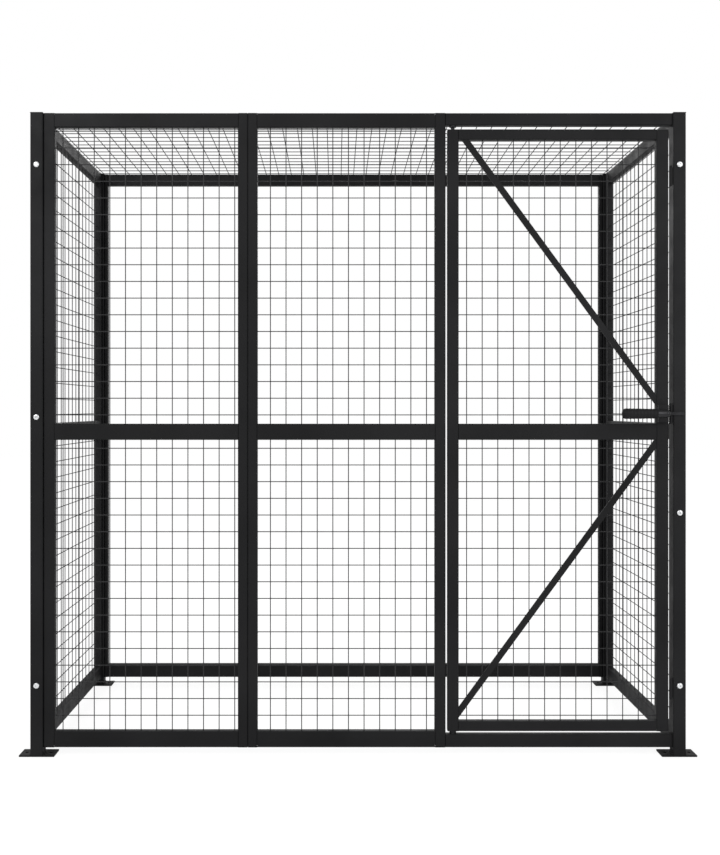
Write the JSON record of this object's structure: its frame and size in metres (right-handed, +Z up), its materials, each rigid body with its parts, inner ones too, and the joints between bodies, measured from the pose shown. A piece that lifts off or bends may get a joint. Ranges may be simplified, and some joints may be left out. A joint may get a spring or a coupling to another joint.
{
  "type": "wire mesh partition with door",
  "caption": "Free-standing square-tube cage with wire mesh front, sides and roof, an open back frame and a braced mesh door with a lever latch.",
  "frame": {"origin": "on the floor under the middle of the whole part, lever and bolt heads included", "axes": "+Z up, +X along the front to the lock side as seen from outside, +Y from the door side to the open back"},
  "size_m": [2.162, 0.972, 2.055],
  "materials": {
    "powder_coat": "satin black powder coat",
    "wire": "satin black coated wire",
    "zinc": "bright zinc plate",
    "steel": "dark brushed steel",
    "polymer": "matte black moulded plastic"
  },
  "bodies": {
    "cage": {"back_rail_bottom": "powder_coat", "back_rail_top": "powder_coat", "back_stile_left": "powder_coat", "back_stile_right": "powder_coat", "base_plate_back_left": "powder_coat", "base_plate_back_right": "powder_coat", "base_plate_front_left": "powder_coat", "base_plate_front_right": "powder_coat", "door_header": "powder_coat", "door_sill": "powder_coat", "left_panel_frame": "powder_coat", "left_panel_mesh_lower": "wire", "left_panel_mesh_upper": "wire", "left_side_frame": "powder_coat", "left_side_mesh_lower": "wire", "left_side_mesh_upper": "wire", "middle_panel_frame": "powder_coat", "middle_panel_mesh_lower": "wire", "middle_panel_mesh_upper": "wire", "panel_joint_bolt_lower": "zinc", "panel_joint_bolt_upper": "zinc", "pivot_pin_bottom": "steel", "pivot_pin_top": "steel", "post_back_left": "powder_coat", "post_back_right": "powder_coat", "post_bolt_back_left_lower": "zinc", "post_bolt_back_left_upper": "zinc", "post_bolt_back_right_lower": "zinc", "post_bolt_back_right_upper": "zinc", "post_bolt_front_left_lower": "zinc", "post_bolt_front_left_middle": "zinc", "post_bolt_front_left_upper": "zinc", "post_bolt_front_right_lower": "zinc", "post_bolt_front_right_middle": "zinc", "post_bolt_front_right_upper": "zinc", "post_cap_back_left": "polymer", "post_cap_back_right": "polymer", "post_cap_front_left": "polymer", "post_cap_front_right": "polymer", "post_front_left": "powder_coat", "post_front_right": "powder_coat", "right_side_frame": "powder_coat", "right_side_mesh_lower": "wire", "right_side_mesh_upper": "wire", "roof_mesh": "wire", "stop_barrel_bottom": "powder_coat", "stop_barrel_middle": "powder_coat", "stop_barrel_top": "powder_coat", "thrust_washer": "steel"},
    "door": {"door_frame": "powder_coat", "door_brace_upper": "powder_coat", "door_brace_lower": "powder_coat", "door_mesh_lower": "wire", "door_mesh_upper": "wire", "pivot_bush_top": "polymer", "pivot_bush_bottom": "polymer", "lock_case": "powder_coat"},
    "lever": {"lever_neck": "steel", "lever_grip": "polymer"},
    "bolt": {"lock_bolt": "steel"}
  },
  "joints": [
    {"name": "door_swing", "type": "hinge", "parent": "cage", "child": "door", "pos_m": [0.3039, -0.399, 1], "axis": [0, 0, -1], "range_deg": [0, 100]},
    {"name": "lever_turn", "type": "hinge", "parent": "door", "child": "lever", "pos_m": [0.9672, -0.449, 1.094], "axis": [0, -1, 0], "range_deg": [0, 45]},
    {"name": "bolt_slide", "type": "slide", "parent": "door", "child": "bolt", "axis": [-1, 0, 0], "range_m": [0, 0.014]}
  ],
  "couplings": [
    {"joint": "bolt_slide", "follows": "lever_turn", "m_per_rad": 0.0178}
  ]
}
